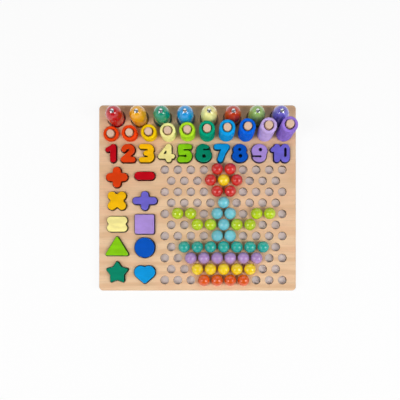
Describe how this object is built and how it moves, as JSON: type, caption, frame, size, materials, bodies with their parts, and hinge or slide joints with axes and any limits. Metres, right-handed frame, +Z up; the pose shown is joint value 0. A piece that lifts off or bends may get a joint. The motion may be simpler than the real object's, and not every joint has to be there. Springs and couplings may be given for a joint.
{
  "type": "wooden bead puzzle",
  "caption": "Flat wooden counting board with a field of bead holes, graduated ring columns, dome pegs, and lift-out number, sign and shape blocks.",
  "frame": {"origin": "middle of the board's underside", "axes": "+X to the right of someone reading the numbers, +Y towards the back edge with the dome pegs, +Z up"},
  "size_m": [0.3014, 0.284, 0.0715],
  "materials": {
    "board_wood": "satin",
    "base_wood": "satin",
    "dowel_wood": "satin",
    "crimson_paint": "gloss",
    "red_paint": "gloss",
    "vermilion_paint": "gloss",
    "orange_paint": "gloss",
    "amber_paint": "gloss",
    "yellow_paint": "gloss",
    "cream_paint": "gloss",
    "chartreuse_paint": "gloss",
    "lime_paint": "gloss",
    "green_paint": "gloss",
    "teal_paint": "gloss",
    "sky_paint": "gloss",
    "azure_paint": "gloss",
    "royal_blue_paint": "gloss",
    "lilac_paint": "gloss",
    "violet_paint": "gloss",
    "purple_paint": "gloss",
    "pale_green_paint": "gloss",
    "pale_lilac_paint": "gloss",
    "golden_paint": "gloss",
    "spring_green_paint": "gloss",
    "orchid_paint": "gloss",
    "steel": "polished"
  },
  "bodies": {
    "board": {"top_panel": "board_wood", "base_panel": "base_wood", "ring_pegs": "dowel_wood"},
    "number_1": {"number_1": "crimson_paint"},
    "number_2": {"number_2": "vermilion_paint"},
    "number_3": {"number_3": "golden_paint"},
    "number_4": {"number_4": "cream_paint"},
    "number_5": {"number_5": "lime_paint"},
    "number_6": {"number_6": "green_paint"},
    "number_7": {"number_7": "azure_paint"},
    "number_8": {"number_8": "royal_blue_paint"},
    "number_9": {"number_9": "lilac_paint"},
    "number_10": {"number_10": "violet_paint"},
    "block_plus": {"block_plus": "vermilion_paint"},
    "block_minus": {"block_minus": "crimson_paint"},
    "block_times": {"block_times": "golden_paint"},
    "block_divide": {"block_divide": "violet_paint"},
    "block_equals": {"block_equals": "cream_paint"},
    "block_square": {"block_square": "lilac_paint"},
    "block_triangle": {"block_triangle": "lime_paint"},
    "block_circle": {"block_circle": "royal_blue_paint"},
    "block_star": {"block_star": "green_paint"},
    "block_heart": {"block_heart": "azure_paint"},
    "dome_peg_crimson": {"dome_peg_crimson": "crimson_paint", "steel_tack_crimson": "steel"},
    "dome_peg_amber": {"dome_peg_amber": "amber_paint", "steel_tack_amber": "steel"},
    "dome_peg_green": {"dome_peg_green": "green_paint", "steel_tack_green": "steel"},
    "dome_peg_blue": {"dome_peg_blue": "azure_paint", "steel_tack_blue": "steel"},
    "dome_peg_cream": {"dome_peg_cream": "cream_paint", "steel_tack_cream": "steel"},
    "dome_peg_scarlet": {"dome_peg_scarlet": "vermilion_paint", "steel_tack_scarlet": "steel"},
    "dome_peg_lime": {"dome_peg_lime": "pale_green_paint", "steel_tack_lime": "steel"},
    "dome_peg_violet": {"dome_peg_violet": "violet_paint", "steel_tack_violet": "steel"},
    "rings_1": {"rings_1": "vermilion_paint"},
    "rings_2": {"rings_2": "vermilion_paint"},
    "rings_3": {"rings_3": "golden_paint"},
    "rings_4": {"rings_4": "cream_paint"},
    "rings_5": {"rings_5": "spring_green_paint"},
    "rings_6": {"rings_6": "green_paint"},
    "rings_7": {"rings_7": "azure_paint"},
    "rings_8": {"rings_8": "royal_blue_paint"},
    "rings_9": {"rings_9": "pale_lilac_paint"},
    "rings_10": {"rings_10": "purple_paint"},
    "beads_petals": {"beads_petals": "red_paint"},
    "beads_flower_centre": {"beads_flower_centre": "yellow_paint"},
    "beads_stem": {"beads_stem": "sky_paint"},
    "beads_left_leaf": {"beads_left_leaf": "chartreuse_paint"},
    "beads_right_leaf": {"beads_right_leaf": "chartreuse_paint"},
    "beads_teal_row": {"beads_teal_row": "teal_paint"},
    "beads_lilac_row": {"beads_lilac_row": "orchid_paint"},
    "beads_yellow_row": {"beads_yellow_row": "yellow_paint"},
    "beads_orange_row": {"beads_orange_row": "orange_paint"}
  },
  "joints": [
    {"name": "number_1_lift", "type": "slide", "parent": "board", "child": "number_1", "axis": [0, 0, 1], "range_m": [0, 0.02]},
    {"name": "number_2_lift", "type": "slide", "parent": "board", "child": "number_2", "axis": [0, 0, 1], "range_m": [0, 0.02]},
    {"name": "number_3_lift", "type": "slide", "parent": "board", "child": "number_3", "axis": [0, 0, 1], "range_m": [0, 0.02]},
    {"name": "number_4_lift", "type": "slide", "parent": "board", "child": "number_4", "axis": [0, 0, 1], "range_m": [0, 0.02]},
    {"name": "number_5_lift", "type": "slide", "parent": "board", "child": "number_5", "axis": [0, 0, 1], "range_m": [0, 0.02]},
    {"name": "number_6_lift", "type": "slide", "parent": "board", "child": "number_6", "axis": [0, 0, 1], "range_m": [0, 0.02]},
    {"name": "number_7_lift", "type": "slide", "parent": "board", "child": "number_7", "axis": [0, 0, 1], "range_m": [0, 0.02]},
    {"name": "number_8_lift", "type": "slide", "parent": "board", "child": "number_8", "axis": [0, 0, 1], "range_m": [0, 0.02]},
    {"name": "number_9_lift", "type": "slide", "parent": "board", "child": "number_9", "axis": [0, 0, 1], "range_m": [0, 0.02]},
    {"name": "number_10_lift", "type": "slide", "parent": "board", "child": "number_10", "axis": [0, 0, 1], "range_m": [0, 0.02]},
    {"name": "block_plus_lift", "type": "slide", "parent": "board", "child": "block_plus", "axis": [0, 0, 1], "range_m": [0, 0.02]},
    {"name": "block_minus_lift", "type": "slide", "parent": "board", "child": "block_minus", "axis": [0, 0, 1], "range_m": [0, 0.02]},
    {"name": "block_times_lift", "type": "slide", "parent": "board", "child": "block_times", "axis": [0, 0, 1], "range_m": [0, 0.02]},
    {"name": "block_divide_lift", "type": "slide", "parent": "board", "child": "block_divide", "axis": [0, 0, 1], "range_m": [0, 0.02]},
    {"name": "block_equals_lift", "type": "slide", "parent": "board", "child": "block_equals", "axis": [0, 0, 1], "range_m": [0, 0.02]},
    {"name": "block_square_lift", "type": "slide", "parent": "board", "child": "block_square", "axis": [0, 0, 1], "range_m": [0, 0.02]},
    {"name": "block_triangle_lift", "type": "slide", "parent": "board", "child": "block_triangle", "axis": [0, 0, 1], "range_m": [0, 0.02]},
    {"name": "block_circle_lift", "type": "slide", "parent": "board", "child": "block_circle", "axis": [0, 0, 1], "range_m": [0, 0.02]},
    {"name": "block_star_lift", "type": "slide", "parent": "board", "child": "block_star", "axis": [0, 0, 1], "range_m": [0, 0.02]},
    {"name": "block_heart_lift", "type": "slide", "parent": "board", "child": "block_heart", "axis": [0, 0, 1], "range_m": [0, 0.02]},
    {"name": "dome_peg_crimson_lift", "type": "slide", "parent": "board", "child": "dome_peg_crimson", "axis": [0, 0, 1], "range_m": [0, 0.03]},
    {"name": "dome_peg_amber_lift", "type": "slide", "parent": "board", "child": "dome_peg_amber", "axis": [0, 0, 1], "range_m": [0, 0.03]},
    {"name": "dome_peg_green_lift", "type": "slide", "parent": "board", "child": "dome_peg_green", "axis": [0, 0, 1], "range_m": [0, 0.03]},
    {"name": "dome_peg_blue_lift", "type": "slide", "parent": "board", "child": "dome_peg_blue", "axis": [0, 0, 1], "range_m": [0, 0.03]},
    {"name": "dome_peg_cream_lift", "type": "slide", "parent": "board", "child": "dome_peg_cream", "axis": [0, 0, 1], "range_m": [0, 0.03]},
    {"name": "dome_peg_scarlet_lift", "type": "slide", "parent": "board", "child": "dome_peg_scarlet", "axis": [0, 0, 1], "range_m": [0, 0.03]},
    {"name": "dome_peg_lime_lift", "type": "slide", "parent": "board", "child": "dome_peg_lime", "axis": [0, 0, 1], "range_m": [0, 0.03]},
    {"name": "dome_peg_violet_lift", "type": "slide", "parent": "board", "child": "dome_peg_violet", "axis": [0, 0, 1], "range_m": [0, 0.03]},
    {"name": "rings_1_lift", "type": "slide", "parent": "board", "child": "rings_1", "axis": [0, 0, 1], "range_m": [0, 0.0151]},
    {"name": "rings_2_lift", "type": "slide", "parent": "board", "child": "rings_2", "axis": [0, 0, 1], "range_m": [0, 0.0207]},
    {"name": "rings_3_lift", "type": "slide", "parent": "board", "child": "rings_3", "axis": [0, 0, 1], "range_m": [0, 0.0263]},
    {"name": "rings_4_lift", "type": "slide", "parent": "board", "child": "rings_4", "axis": [0, 0, 1], "range_m": [0, 0.0319]},
    {"name": "rings_5_lift", "type": "slide", "parent": "board", "child": "rings_5", "axis": [0, 0, 1], "range_m": [0, 0.0375]},
    {"name": "rings_6_lift", "type": "slide", "parent": "board", "child": "rings_6", "axis": [0, 0, 1], "range_m": [0, 0.0431]},
    {"name": "rings_7_lift", "type": "slide", "parent": "board", "child": "rings_7", "axis": [0, 0, 1], "range_m": [0, 0.0487]},
    {"name": "rings_8_lift", "type": "slide", "parent": "board", "child": "rings_8", "axis": [0, 0, 1], "range_m": [0, 0.0543]},
    {"name": "rings_9_lift", "type": "slide", "parent": "board", "child": "rings_9", "axis": [0, 0, 1], "range_m": [0, 0.0599]},
    {"name": "rings_10_lift", "type": "slide", "parent": "board", "child": "rings_10", "axis": [0, 0, 1], "range_m": [0, 0.0655]},
    {"name": "beads_petals_lift", "type": "slide", "parent": "board", "child": "beads_petals", "axis": [0, 0, 1], "range_m": [0, 0.02]},
    {"name": "beads_flower_centre_lift", "type": "slide", "parent": "board", "child": "beads_flower_centre", "axis": [0, 0, 1], "range_m": [0, 0.02]},
    {"name": "beads_stem_lift", "type": "slide", "parent": "board", "child": "beads_stem", "axis": [0, 0, 1], "range_m": [0, 0.02]},
    {"name": "beads_left_leaf_lift", "type": "slide", "parent": "board", "child": "beads_left_leaf", "axis": [0, 0, 1], "range_m": [0, 0.02]},
    {"name": "beads_right_leaf_lift", "type": "slide", "parent": "board", "child": "beads_right_leaf", "axis": [0, 0, 1], "range_m": [0, 0.02]},
    {"name": "beads_teal_row_lift", "type": "slide", "parent": "board", "child": "beads_teal_row", "axis": [0, 0, 1], "range_m": [0, 0.02]},
    {"name": "beads_lilac_row_lift", "type": "slide", "parent": "board", "child": "beads_lilac_row", "axis": [0, 0, 1], "range_m": [0, 0.02]},
    {"name": "beads_yellow_row_lift", "type": "slide", "parent": "board", "child": "beads_yellow_row", "axis": [0, 0, 1], "range_m": [0, 0.02]},
    {"name": "beads_orange_row_lift", "type": "slide", "parent": "board", "child": "beads_orange_row", "axis": [0, 0, 1], "range_m": [0, 0.02]}
  ]
}
